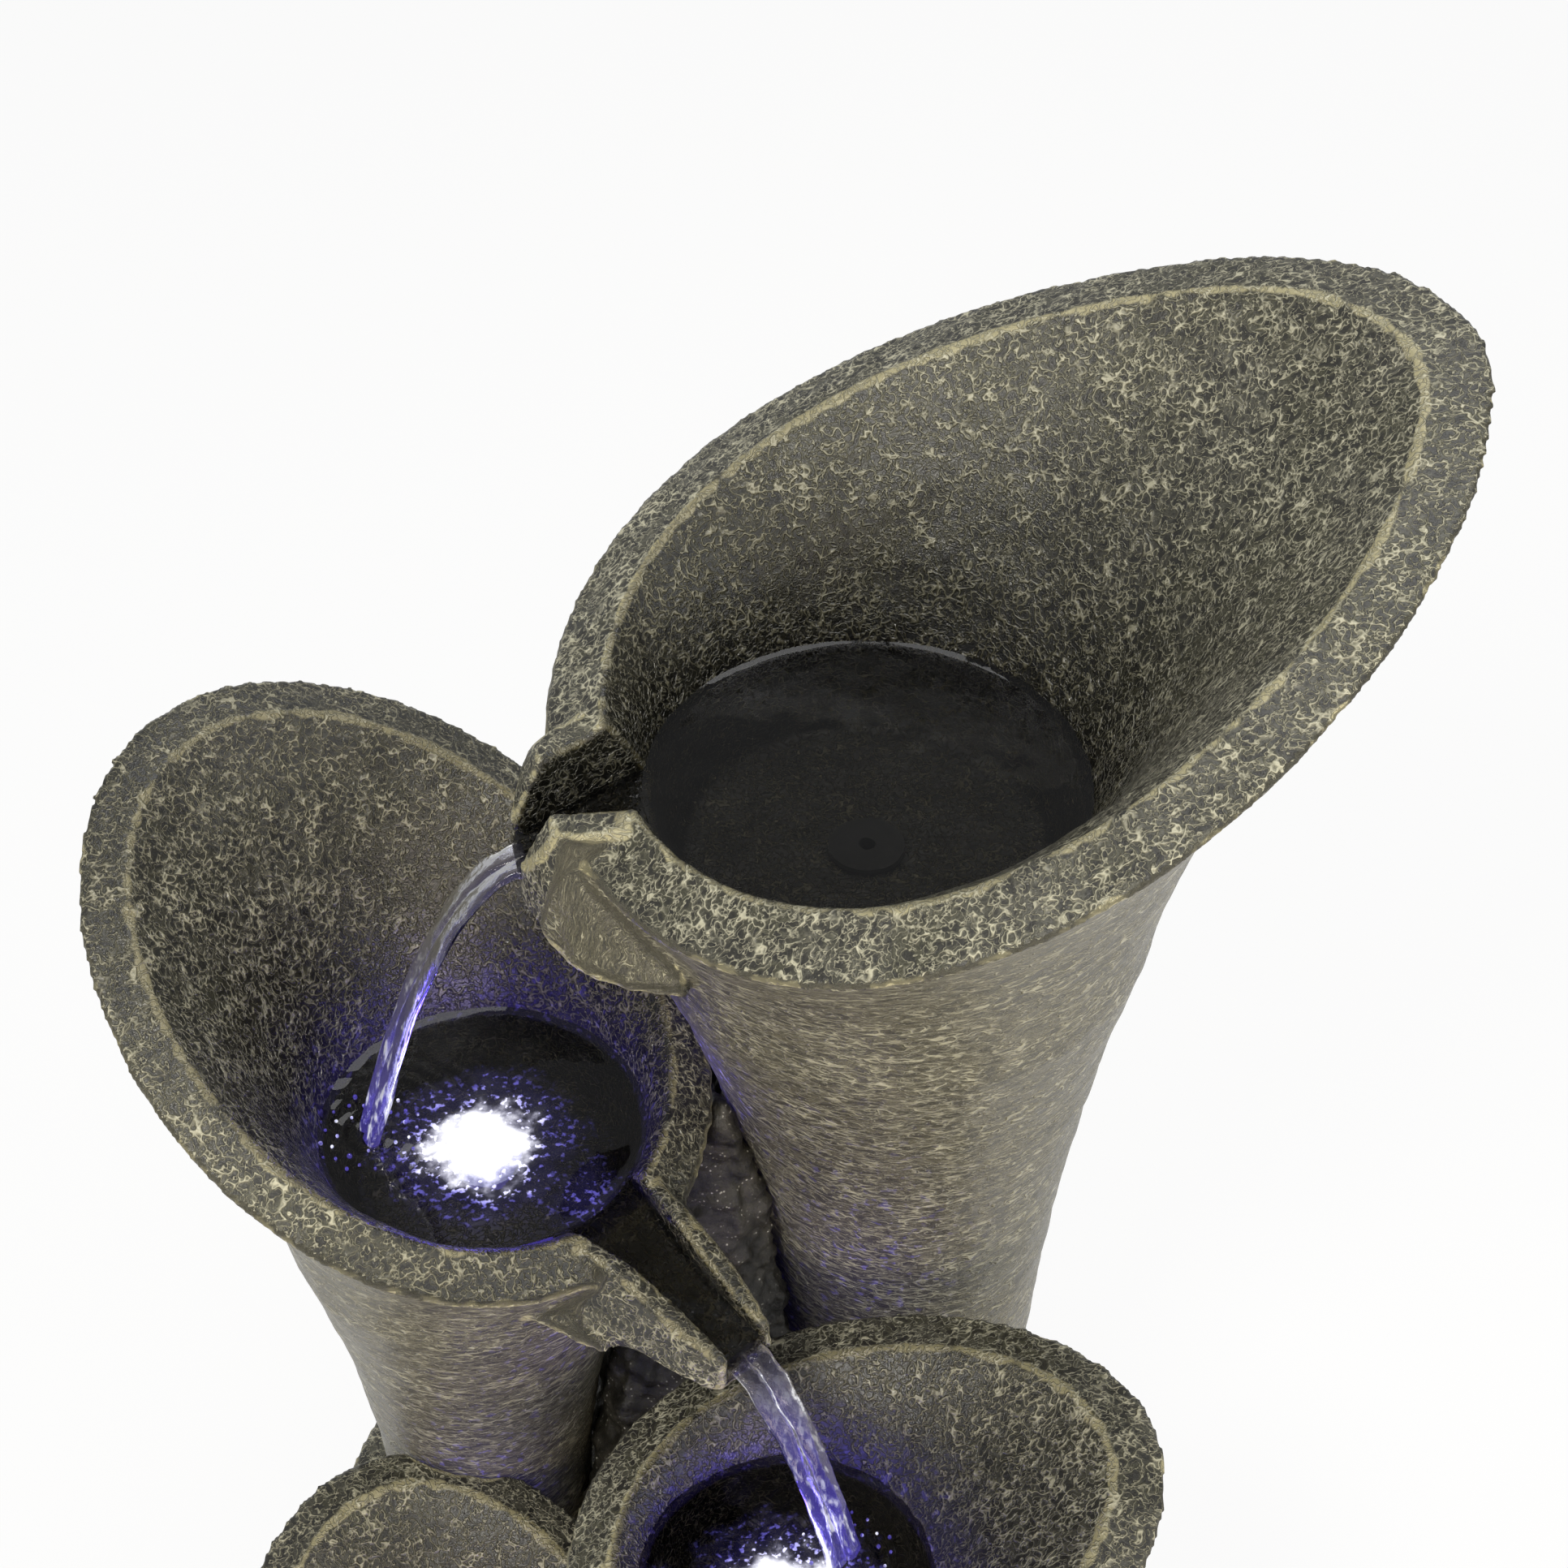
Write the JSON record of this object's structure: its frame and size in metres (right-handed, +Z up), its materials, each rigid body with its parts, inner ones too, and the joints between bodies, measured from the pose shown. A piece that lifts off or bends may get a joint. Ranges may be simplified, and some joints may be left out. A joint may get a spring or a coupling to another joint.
{
  "type": "garden fountain",
  "caption": "Cascading garden fountain: lily-shaped cast stone vases pour from spout to spout into a basin, with underwater lamps, a submersible pump and a service hatch.",
  "frame": {"origin": "centre of the basin's footprint on the ground", "axes": "+Z up; the viewer of the picture stands on the -Y side and looks along +Y"},
  "size_m": [0.6073, 0.63, 0.7744],
  "materials": {
    "cast_stone": "wrinkled cast stone, dark with pale dry-brushed high spots",
    "rock": "rough split rock, wet",
    "black_rubber": "matte",
    "lead_jacket": "smooth jacket",
    "steel": "stainless",
    "brass": "dulled",
    "white_ceramic": "ground",
    "magnet": "moulded",
    "clear_hose": "clear vinyl",
    "lens": "clear",
    "light_board": "white board",
    "lamp_black": "moulded",
    "black_plastic": "moulded"
  },
  "bodies": {
    "fountain": {"base_pads": "black_rubber", "basin": "cast_stone", "bulkhead_fitting": "black_plastic", "cord_gland": "black_plastic", "drain_bush": "black_plastic", "drain_nut": "black_plastic", "fitting_nut": "black_plastic", "fitting_seal": "black_rubber", "floor_grommets": "black_rubber", "foot_bolts": "steel", "foot_gaskets": "black_rubber", "foot_washers": "steel", "gland_nut": "black_plastic", "hose_clamps": "steel", "impeller_cover": "black_plastic", "impeller_shaft": "white_ceramic", "junction_box": "black_plastic", "junction_lid": "black_plastic", "lamp_leads": "lead_jacket", "left_lamp_board": "light_board", "left_lamp_housing": "lamp_black", "left_lamp_lens": "lens", "left_lamp_nut": "black_plastic", "left_lamp_seal": "black_rubber", "left_vase": "cast_stone", "lid_screws": "steel", "low_lamp_board": "light_board", "low_lamp_housing": "lamp_black", "low_lamp_lens": "lens", "low_lamp_nut": "black_plastic", "low_lamp_seal": "black_rubber", "low_vase": "cast_stone", "outlet_nozzle": "black_plastic", "pump_body": "black_plastic", "pump_lead": "lead_jacket", "right_lamp_board": "light_board", "right_lamp_housing": "lamp_black", "right_lamp_lens": "lens", "right_lamp_nut": "black_plastic", "right_lamp_seal": "black_rubber", "right_vase": "cast_stone", "riser_hose": "clear_hose", "shaft_bushes": "black_rubber", "stone_core": "rock", "suction_cups": "black_rubber", "top_vase": "cast_stone"},
    "impeller": {"impeller": "magnet"},
    "intake_grille": {"intake_grille": "black_plastic"},
    "flow_regulator": {"flow_regulator": "black_plastic"},
    "drain_plug": {"drain_plug": "black_plastic"},
    "hatch": {"hatch_door": "cast_stone", "hatch_knob": "brass"}
  },
  "joints": [
    {"name": "impeller_spin", "type": "hinge", "parent": "fountain", "child": "impeller", "pos_m": [0.082, 0.153, 0.067], "axis": [0, 1, 0], "continuous": true},
    {"name": "grille_pull", "type": "slide", "parent": "fountain", "child": "intake_grille", "axis": [0, -1, 0], "range_m": [0, 0.018]},
    {"name": "regulator_turn", "type": "hinge", "parent": "intake_grille", "child": "flow_regulator", "pos_m": [0.082, 0.153, 0.067], "axis": [0, 1, 0], "range_deg": [0, 45]},
    {"name": "plug_pull", "type": "slide", "parent": "fountain", "child": "drain_plug", "axis": [-1, 0, 0], "range_m": [0, 0.03]},
    {"name": "hatch_pull", "type": "slide", "parent": "fountain", "child": "hatch", "axis": [0.2588, 0.9659, 0], "range_m": [0, 0.06]}
  ]
}
